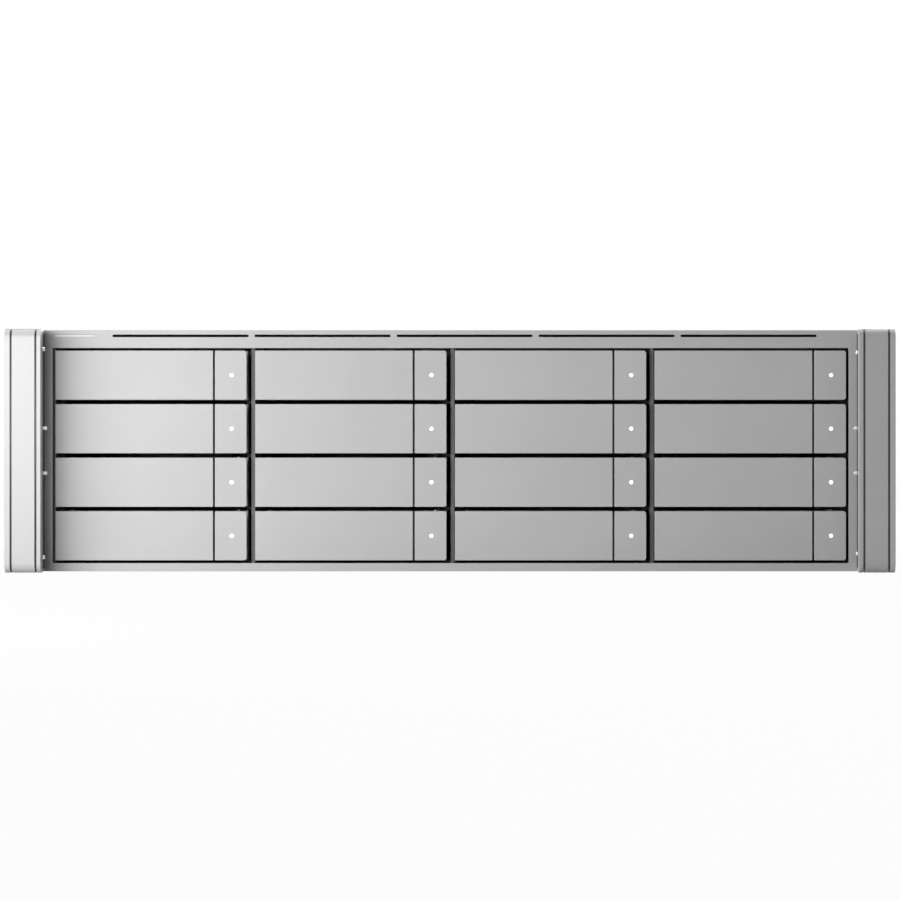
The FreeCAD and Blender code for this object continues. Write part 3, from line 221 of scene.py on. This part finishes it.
faceAluminium = anodisedAluminium("anodised_aluminium_face", "#C9C9C9", "#CDCDCD")
frameAluminium = anodisedAluminium("anodised_aluminium_frame", "#C6C6C6", "#CACACA")
earSilver = silverCoatedPlastic("silver_coated_plastic_ear", "#C5C5C5", "#C9C9C9")
# a dark grey painted shade for the inside of the ear caps' grooves, where shade falls in the recess; the cap
# itself is silver all over
groovePaintedShade = silverCoatedPlastic("painted_shade_in_grooves", "#3E3E3E", "#464646")
zincSteel = zincSheet("zinc_plated_steel", "#A2A5A6", "#B2B5B6")
dividerCoat = powderCoat("powder_coated_steel_divider", "#6B6C6D", "#747576")
bracketCoat = powderCoat("powder_coated_steel_bracket", "#3C3D3E", "#444546")
blackMoulding = mouldedPlastic("moulded_plastic_black", "#1A1B1C", "#222324")
boardResist = solderResist("solder_resist_board", "#123A22", "#18492B")
driveLid = castAluminium("stamped_aluminium_lid", "#B4B6B7", "#C2C4C5")
driveCasting = castAluminium("die_cast_aluminium", "#9A9C9E", "#B0B2B4")
platedBright = turnedMetal("nickel_plated_steel", "#C9C9C8", "#DADAD9")
whiteLight = lightPipe("light_pipe_white", "#FBFBFB", "#FFFFFF", 1.1)
milkyPipe = lightPipe("light_pipe_milky", "#D4D5D6", "#DCDDDE", 0.1)
goldContact = turnedMetal("gold_plated_contact", "#C9A24C", "#D9B45E")
greenLight = lightPipe("light_pipe_green", "#3FBF57", "#4ED467", 0.7)

bodyOf = {node: body for body, nodes in frame["record"]["behaviour"]["bodies"].items() for node in nodes}
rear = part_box("module_walls")[1].y
print("materials made")


def newObject(name, bm):
    mesh = bpy.data.meshes.new(name)
    bm.to_mesh(mesh)
    bm.free()
    piece = bpy.data.objects.new(name, mesh)
    bpy.context.scene.collection.objects.link(piece)
    return piece


def cleanCopy(nodeName, pieceName):
    # a node's loose triangles, merged and made into whole faces
    bm = bmesh.new()
    bm.from_mesh(frame["nodes"][nodeName].data)
    bmesh.ops.remove_doubles(bm, verts=bm.verts, dist=weldGap)
    bmesh.ops.dissolve_limit(bm, angle_limit=flatAngle, verts=bm.verts, edges=bm.edges)
    return newObject(pieceName, bm)


def smoothFaces(piece):
    piece.data.shade_smooth()
    piece.data.set_sharp_from_angle(angle=sharpAngle)


def breakEdges(piece, width, segments=2):
    smoothFaces(piece)
    bevel = piece.modifiers.new("edge_break", "BEVEL")
    bevel.width = width * mm
    bevel.segments = segments
    bevel.limit_method = "ANGLE"
    bevel.angle_limit = sharpAngle
    bevel.harden_normals = True


def paint(piece, materials, choose=None, wholly=False):
    # choose gives the number of the material at a spot; a face goes by its middle, or by its corners as well
    piece.data.materials.clear()
    for material in materials:
        piece.data.materials.append(material)
    if not choose:
        return
    for polygon in piece.data.polygons:
        spots = [polygon.center]
        if wholly:
            spots += [piece.data.vertices[index].co for index in polygon.vertices]
        polygon.material_index = min(choose(spot) for spot in spots)


def dress(nodeName, materials, edge=0.25, choose=None, segments=2, wholly=False):
    piece = cleanCopy(nodeName, f"{nodeName}_finished")
    paint(piece, materials, choose, wholly)
    breakEdges(piece, edge, segments)
    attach(piece, bodyOf[nodeName])
    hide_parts(nodeName)
    return piece


def addPiece(name, bm, material, body, edge=0.0, segments=2):
    bmesh.ops.recalc_face_normals(bm, faces=bm.faces)
    piece = newObject(name, bm)
    paint(piece, [material])
    if edge:
        breakEdges(piece, edge, segments)
    else:
        smoothFaces(piece)
    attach(piece, body)
    return piece


def turnedTo(place, axis):
    # where a shape made along +Z from the origin goes
    turn = Vector((0, 0, 1)).rotation_difference(Vector(axis)).to_matrix().to_4x4()
    return Matrix.Translation(Vector(place)) @ turn


def gathered(makeOne, placements):
    # one shape, made once and repeated at each placement
    one = bmesh.new()
    makeOne(one)
    pattern = bpy.data.meshes.new("pattern")
    one.to_mesh(pattern)
    one.free()
    whole = bmesh.new()
    for placement in placements:
        before = len(whole.verts)
        whole.from_mesh(pattern)
        whole.verts.ensure_lookup_table()
        bmesh.ops.transform(whole, matrix=placement, verts=whole.verts[before:])
    bpy.data.meshes.remove(pattern)
    return whole


def joined(bm, other):
    # the second shape added to the first
    mesh = bpy.data.meshes.new("joined")
    other.to_mesh(mesh)
    other.free()
    bm.from_mesh(mesh)
    bpy.data.meshes.remove(mesh)
    return bm


def topFace(bm, height, upright=0.9):
    # the level face at the free end of a shape that stands on the origin
    level = [face for face in bm.faces if abs(face.normal.z) > upright]
    return [face for face in level if abs(face.calc_center_median().z - height) < weldGap]


def roundBar(bm, radius, length, rim, segments=24):
    # a turned bar along +Z whose free end has a rounded rim
    bmesh.ops.create_cone(bm, cap_ends=True, segments=segments, depth=length * mm,
                          radius1=radius * mm, radius2=radius * mm)
    bmesh.ops.translate(bm, verts=bm.verts, vec=(0, 0, length * mm / 2))
    bm.normal_update()
    edges = topFace(bm, length * mm)[0].edges[:]
    bmesh.ops.bevel(bm, geom=edges, offset=rim * mm, segments=3, profile=0.5, affect="EDGES", material=-1)
    bm.normal_update()


def screwHead(bm, radius, height, recess):
    # a pan head with a driving recess: the top is inset and the inner face let down
    rim = height * 0.4
    depth = height * 0.6
    roundBar(bm, radius, height, rim)
    top = topFace(bm, height * mm)
    bmesh.ops.inset_region(bm, faces=top, thickness=(radius - rim - recess) * mm, use_even_offset=True)
    sunk = bmesh.ops.extrude_face_region(bm, geom=top)
    bmesh.ops.delete(bm, geom=top, context="FACES_KEEP_BOUNDARY")
    sunkVerts = [item for item in sunk["geom"] if isinstance(item, bmesh.types.BMVert)]
    bmesh.ops.translate(bm, verts=sunkVerts, vec=(0, 0, -depth * mm))
    bm.normal_update()


def block(bm, low, high):
    # a plain cuboid between two corners in metres
    made = bmesh.ops.create_cube(bm, size=1.0)["verts"]
    bmesh.ops.scale(bm, verts=made, vec=Vector(high) - Vector(low))
    bmesh.ops.translate(bm, verts=made, vec=(Vector(low) + Vector(high)) / 2)


def between(value, low, high):
    return low <= value <= high


def dressEars():
    groove = {"width": 1.0, "inner": 2.2, "outer": 3.0, "slack": 0.05}
    for side in ("left", "right"):
        low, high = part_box(f"ear_cap_{side}")
        edges = sorted((abs(low.x), abs(high.x)))
        starts = (edges[0] + groove["inner"] * mm, edges[1] - (groove["outer"] + groove["width"]) * mm)

        # the grooves' walls and floor get the dark grey: painted shade in the recess, not a colour of the
        # cap
        def inPaintedGrooveShade(spot):
            slack = groove["slack"] * mm
            across = groove["width"] * mm + slack
            return int(any(between(abs(spot.x), start - slack, start + across) for start in starts))

        dress(f"ear_cap_{side}", [earSilver, groovePaintedShade], edge=0.25, choose=inPaintedGrooveShade, segments=3)
        dress(f"rack_bracket_{side}", [bracketCoat], edge=0.2)
    print("ear caps and brackets dressed")


def dressFront():
    dress("front_frame", [frameAluminium], edge=0.2)
    dress("status_light_bar", [milkyPipe], edge=0.1)
    dress("bay_dividers", [dividerCoat], edge=0.2)
    dress("guide_rails", [blackMoulding], edge=0.15)
    print("front frame and bays dressed")


def dressBody():
    for node in ("chassis_pan", "top_cover"):
        dress(node, [zincSteel], edge=0.3)
    dress("module_walls", [zincSteel], edge=0.2)
    dress("midplane", [boardResist], edge=0.1)
    dress("midplane_sockets", [blackMoulding], edge=0.2)
    print("body and midplane dressed")


def islands(node):
    # the two corners of the box round each separate solid of a node
    bm = bmesh.new()
    bm.from_mesh(frame["nodes"][node].data)
    bmesh.ops.remove_doubles(bm, verts=bm.verts, dist=weldGap)
    left = set(bm.verts)
    boxes = []
    while left:
        reach = [left.pop()]
        group = []
        while reach:
            vert = reach.pop()
            group.append(vert.co.copy())
            for edge in vert.link_edges:
                other = edge.other_vert(vert)
                if other in left:
                    left.remove(other)
                    reach.append(other)
        boxes.append((Vector([min(p[i] for p in group) for i in range(3)]),
                      Vector([max(p[i] for p in group) for i in range(3)])))
    bm.free()
    return boxes


def turnedParts():
    # round heads and pins take the place of the many-sided ones
    finish = {"recess": 1.2, "pinRim": 0.5, "studRim": 0.7}

    def turned(node, name, outward, shape):
        boxes = islands(node)
        low, high = boxes[0]
        radius, length = (high.y - low.y) / mm / 2, (high.x - low.x) / mm
        placements = []
        for low, high in boxes:
            side = 1 if low.x > 0 else -1
            root = min(low.x, high.x, key=abs) if outward else max(low.x, high.x, key=abs)
            middle = (low + high) / 2
            placements.append(turnedTo((root, middle.y, middle.z), (side if outward else -side, 0, 0)))
        piece = addPiece(name, gathered(lambda bm: shape(bm, radius, length), placements), platedBright,
                         bodyOf[node])
        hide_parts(node)

    def head(bm, radius, length):
        screwHead(bm, radius, length, finish["recess"])

    def pin(bm, radius, length):
        roundBar(bm, radius, length, finish["pinRim"])

    def stud(bm, radius, length):
        roundBar(bm, radius, length, finish["studRim"])

    turned("cover_screws", "cover_screw_heads", True, head)
    turned("bezel_pins", "bezel_pins_turned", False, pin)
    turned("bracket_screws", "bracket_studs_turned", False, stud)
    print("screws and pins turned")


def driveFittings(left, right, start, top):
    # the lid's six screws and the motor's round cap, on top of the drive
    drive = {"length": 147.0, "inset": 4.5, "screwRadius": 2.2, "screwHeight": 0.3, "recess": 1.1,
             "hubRadius": 13.0, "hubHeight": 0.25, "hubRim": 0.2, "hubBack": 55.0, "hubSegments": 48}
    end = start + drive["length"] * mm
    inset = drive["inset"] * mm
    spots = [(x, y, top) for x in (left + inset, right - inset)
             for y in (start + inset, (start + end) / 2, end - inset)]
    screws = gathered(lambda bm: screwHead(bm, drive["screwRadius"], drive["screwHeight"], drive["recess"]),
                      [turnedTo(spot, (0, 0, 1)) for spot in spots])
    middle = ((left + right) / 2, start + drive["hubBack"] * mm, top)
    hub = gathered(lambda bm: roundBar(bm, drive["hubRadius"], drive["hubHeight"], drive["hubRim"],
                                       drive["hubSegments"]),
                   [turnedTo(middle, (0, 0, 1))])
    return joined(screws, hub)


def dressCarriers():
    drive = {"side": 1.6, "front": 22.1, "floor": 0.8, "lid": 22.9}
    light = {"radius": 1.05, "rim": 0.1, "fromRight": 8.2, "proud": 0.15, "seat": 0.6}
    for row in range(1, rows + 1):
        for column in range(1, columns + 1):
            name = f"r{row}c{column}"
            low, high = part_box(f"carrier_{name}")
            left, right = low.x + drive["side"] * mm, high.x - drive["side"] * mm
            start = low.y + drive["front"] * mm

            def part(spot):
                # 0 is the carrier, 1 the drive's casting and 2 its lid
                rise = (spot.z - low.z) / mm
                if not between(spot.x, left, right) or spot.y <= start or rise < drive["floor"]:
                    return 0
                return 1 if rise < drive["lid"] else 2

            dress(f"carrier_{name}", [faceAluminium, driveCasting, driveLid], edge=0.2, choose=part)
            addPiece(f"drive_fittings_{name}", driveFittings(left, right, start, high.z), platedBright,
                     f"carrier_{name}")

            low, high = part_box(f"latch_{name}")
            dress(f"latch_{name}", [faceAluminium], edge=0.2)
            seat = (high.x - light["fromRight"] * mm, low.y + light["seat"] * mm, (low.z + high.z) / 2)
            pipe = gathered(lambda bm: roundBar(bm, light["radius"], light["seat"] + light["proud"],
                                                light["rim"]),
                            [turnedTo(seat, towardsFront)])
            addPiece(f"light_pipe_{name}", pipe, whiteLight, f"latch_{name}")
    print("carriers, drives and latches dressed")


def dressPowerModules():
    fan = {"inset": 58.0, "rise": 79.0, "half": 42.1, "deep": 26.1, "panel": 1.01}
    screw = {"apart": 36.0, "radius": 3.0, "height": 1.5, "recess": 1.3}
    inlet = {"inset": 42.0, "rise": 20.0, "halfWide": 14.0, "halfTall": 10.0, "deep": 18.1}
    blade = {"wide": 2.0, "tall": 4.5, "root": 16.0, "tip": 3.0, "apart": 7.0, "low": -2.0, "high": 3.0}
    rocker = {"inset": 82.0, "halfWide": 5.6, "halfTall": 8.6, "deep": 9.1}
    lamp = {"inset": 94.0, "radius": 1.5, "rim": 0.4, "proud": 0.5, "seat": 1.0}
    blades = ((-blade["apart"], blade["low"]), (0, blade["high"]), (blade["apart"], blade["low"]))
    for side in ("left", "right"):
        low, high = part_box(f"psu_{side}")
        rise = low.z + inlet["rise"] * mm

        def within(spot, x, z, halfWide, halfTall, deep):
            return (abs(spot.x - low.x - x * mm) < halfWide * mm
                    and abs(spot.z - low.z - z * mm) < halfTall * mm and spot.y > rear - deep * mm)

        def part(spot):
            # 0 is the sheet case, 1 the mouldings in it
            inFan = within(spot, fan["inset"], fan["rise"], fan["half"], fan["half"], fan["deep"])
            inInlet = within(spot, inlet["inset"], inlet["rise"], inlet["halfWide"], inlet["halfTall"],
                             inlet["deep"])
            inRocker = within(spot, rocker["inset"], inlet["rise"], rocker["halfWide"], rocker["halfTall"],
                              rocker["deep"])
            return int(inInlet or inRocker or (inFan and spot.y < rear - fan["panel"] * mm))

        dress(f"psu_{side}", [zincSteel, blackMoulding], edge=0.2, choose=part, wholly=True)
        dress(f"psu_{side}_fan", [blackMoulding], edge=0.3)
        dress(f"psu_{side}_handle", [blackMoulding], edge=0.6, segments=3)
        dress(f"psu_{side}_switch", [blackMoulding], edge=0.4, segments=3)

        reaches = (-screw["apart"], screw["apart"])
        corners = [(low.x + (fan["inset"] + across) * mm, rear, low.z + (fan["rise"] + up) * mm)
                   for across in reaches for up in reaches]
        screws = gathered(lambda bm: screwHead(bm, screw["radius"], screw["height"], screw["recess"]),
                          [turnedTo(corner, towardsRear) for corner in corners])
        addPiece(f"fan_screws_{side}", screws, platedBright, f"psu_{side}")

        contacts = bmesh.new()
        middle = low.x + inlet["inset"] * mm
        for across, up in blades:
            left, base = middle + (across - blade["wide"] / 2) * mm, rise + (up - blade["tall"] / 2) * mm
            right, top = middle + (across + blade["wide"] / 2) * mm, rise + (up + blade["tall"] / 2) * mm
            block(contacts, (left, rear - blade["root"] * mm, base), (right, rear - blade["tip"] * mm, top))
        addPiece(f"inlet_blades_{side}", contacts, platedBright, f"psu_{side}", edge=0.4)

        spot = (low.x + lamp["inset"] * mm, rear - lamp["seat"] * mm, rise)
        light = gathered(lambda bm: roundBar(bm, lamp["radius"], lamp["seat"] + lamp["proud"], lamp["rim"]),
                         [turnedTo(spot, towardsRear)])
        addPiece(f"power_light_{side}", light, greenLight, f"psu_{side}")
    print("power modules dressed")


def dressDataModules():
    port = {"pitch": 42.0, "rise": 40.0, "halfWide": 11.1, "halfTall": 5.6, "deep": 15.5, "panel": 1.0,
            "slack": 0.05}
    tongue = {"halfWide": 7.5, "thick": 1.6, "root": 13.0, "tip": 4.0}
    contact = {"count": 9, "pitch": 1.5, "wide": 0.7, "thick": 0.1, "long": 6.0, "back": 0.6}
    lamp = {"above": 9.5, "radius": 1.0, "rim": 0.2, "proud": 0.3, "seat": 1.0}
    half = tongue["thick"] / 2
    centres = [step * port["pitch"] * mm for step in (-1, 0, 1)]
    panelFaces = (rear, rear - port["panel"] * mm)
    contactTip = rear - (tongue["tip"] + contact["back"]) * mm
    contactRoot = rear - (tongue["tip"] + contact["back"] + contact["long"]) * mm
    for level in ("upper", "lower"):
        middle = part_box(f"io_{level}")[0].z + port["rise"] * mm

        def part(spot):
            # 0 is the sheet case, 1 the plated cage of a port, without the panel's own two faces
            onPanel = any(abs(spot.y - face) < port["slack"] * mm for face in panelFaces)
            near = any(abs(spot.x - x) < port["halfWide"] * mm for x in centres)
            return int(near and not onPanel and abs(spot.z - middle) < port["halfTall"] * mm
                       and spot.y > rear - port["deep"] * mm)

        dress(f"io_{level}", [zincSteel, platedBright], edge=0.2, choose=part, wholly=True)
        dress(f"io_{level}_lever", [blackMoulding], edge=0.5, segments=3)

        tongues = bmesh.new()
        contacts = bmesh.new()
        for x in centres:
            block(tongues, (x - tongue["halfWide"] * mm, rear - tongue["root"] * mm, middle - half * mm),
                  (x + tongue["halfWide"] * mm, rear - tongue["tip"] * mm, middle + half * mm))
            for number in range(contact["count"]):
                step = (number - (contact["count"] - 1) / 2) * contact["pitch"]
                start = x + (step - contact["wide"] / 2) * mm
                for up in (half, -half - contact["thick"]):
                    block(contacts, (start, contactRoot, middle + up * mm),
                          (start + contact["wide"] * mm, contactTip, middle + (up + contact["thick"]) * mm))
        addPiece(f"port_tongues_{level}", tongues, blackMoulding, f"io_{level}", edge=0.3)
        addPiece(f"port_contacts_{level}", contacts, goldContact, f"io_{level}")

        spots = [(x, rear - lamp["seat"] * mm, middle + lamp["above"] * mm) for x in centres]
        lamps = gathered(lambda bm: roundBar(bm, lamp["radius"], lamp["seat"] + lamp["proud"], lamp["rim"]),
                         [turnedTo(spot, towardsRear) for spot in spots])
        addPiece(f"port_lights_{level}", lamps, greenLight, f"io_{level}")
    print("data modules dressed")


def placeCamera():
    camera = {"distance": 1.758, "lens": 129.9, "sensor": 36.0, "across": 0.030, "shift": -0.0615,
              "height": 0.0666}
    data = bpy.data.cameras.new("camera")
    data.lens = camera["lens"]
    data.sensor_width = camera["sensor"]
    data.shift_x = camera["shift"]
    eye = bpy.data.objects.new("camera", data)
    eye.location = (camera["across"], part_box("ear_cap_left")[0].y - camera["distance"], camera["height"])
    eye.rotation_euler = (math.pi / 2, 0, 0)
    bpy.context.scene.collection.objects.link(eye)
    bpy.context.scene.camera = eye
    print("camera placed")


def areaLight(name, place, aim, width, height, watts):
    data = bpy.data.lights.new(name, "AREA")
    data.shape = "RECTANGLE"
    data.size = width
    data.size_y = height
    data.energy = watts
    light = bpy.data.objects.new(name, data)
    light.location = place
    light.rotation_euler = (Vector(aim) - Vector(place)).to_track_quat("-Z", "Y").to_euler()
    bpy.context.scene.collection.objects.link(light)


def placeLights():
    # the low one at the left lights the front, the other two the top and the back
    areaLight("softbox_left", place=(-0.52, -0.54, 0.16), aim=(-0.1, 0, 0.07),
              width=0.75, height=0.3, watts=5.2)
    areaLight("softbox_above", place=(0.0, 0.27, 1.10), aim=(0, 0.27, 0.1),
              width=0.9, height=0.4, watts=6.0)
    areaLight("softbox_rear", place=(0.55, 1.60, 0.60), aim=(0, 0.5, 0.07),
              width=1.0, height=0.8, watts=20.0)
    print("lights placed")


def seenAsBackground(tree, share):
    # camera, glossy and transmission rays see the white backdrop; every other ray sees the lit surface
    path = addNode(tree, "ShaderNodeLightPath")
    seen = addNode(tree, "ShaderNodeMath", operation="MAXIMUM",
                   links={0: path.outputs["Is Camera Ray"], 1: path.outputs["Is Glossy Ray"]})
    seen = addNode(tree, "ShaderNodeMath", {0: seen.outputs[0], 1: path.outputs["Is Transmission Ray"]},
                   operation="MAXIMUM")
    seen = addNode(tree, "ShaderNodeMath", {0: seen.outputs[0]}, operation="MULTIPLY")
    seen.inputs[1].default_value = share
    return seen.outputs[0]


def layFloor():
    studio = {"size": 6.0, "drop": 0.2, "colour": "#B8B8B8", "roughness": 0.9, "share": 0.97}
    bm = bmesh.new()
    bmesh.ops.create_grid(bm, x_segments=1, y_segments=1, size=studio["size"])
    bmesh.ops.translate(bm, verts=bm.verts, vec=(0, 0, -studio["drop"] * mm))
    floor = newObject("floor", bm)
    made = newMaterial("studio_floor", studio["colour"], 0.0, studio["roughness"])
    material, tree, principled = made[:3]
    glow = addNode(tree, "ShaderNodeEmission", Strength=1.0)
    mix = addNode(tree, "ShaderNodeMixShader", {"Fac": seenAsBackground(tree, studio["share"]),
                                                1: principled.outputs[0], 2: glow.outputs[0]})
    tree.links.new(mix.outputs[0], tree.nodes["Material Output"].inputs["Surface"])
    floor.data.materials.append(material)


def lightWorld():
    # the backdrop is white, and as a light it only fills the shadows
    fill = 0.005
    world = bpy.data.worlds.new("studio")
    bpy.context.scene.world = world
    world.use_nodes = True
    tree = world.node_tree
    background = tree.nodes["Background"]
    strength = addNode(tree, "ShaderNodeMapRange", {"Value": seenAsBackground(tree, 1.0)},
                       To_Min=fill, To_Max=1.0)
    tree.links.new(strength.outputs["Result"], background.inputs["Strength"])
    background.inputs["Color"].default_value = (1, 1, 1, 1)


dressFront()
dressEars()
dressBody()
turnedParts()
dressCarriers()
dressPowerModules()
dressDataModules()
placeCamera()
placeLights()
layFloor()
lightWorld()
bpy.context.scene.view_settings.view_transform = "Standard"
print("studio ready")
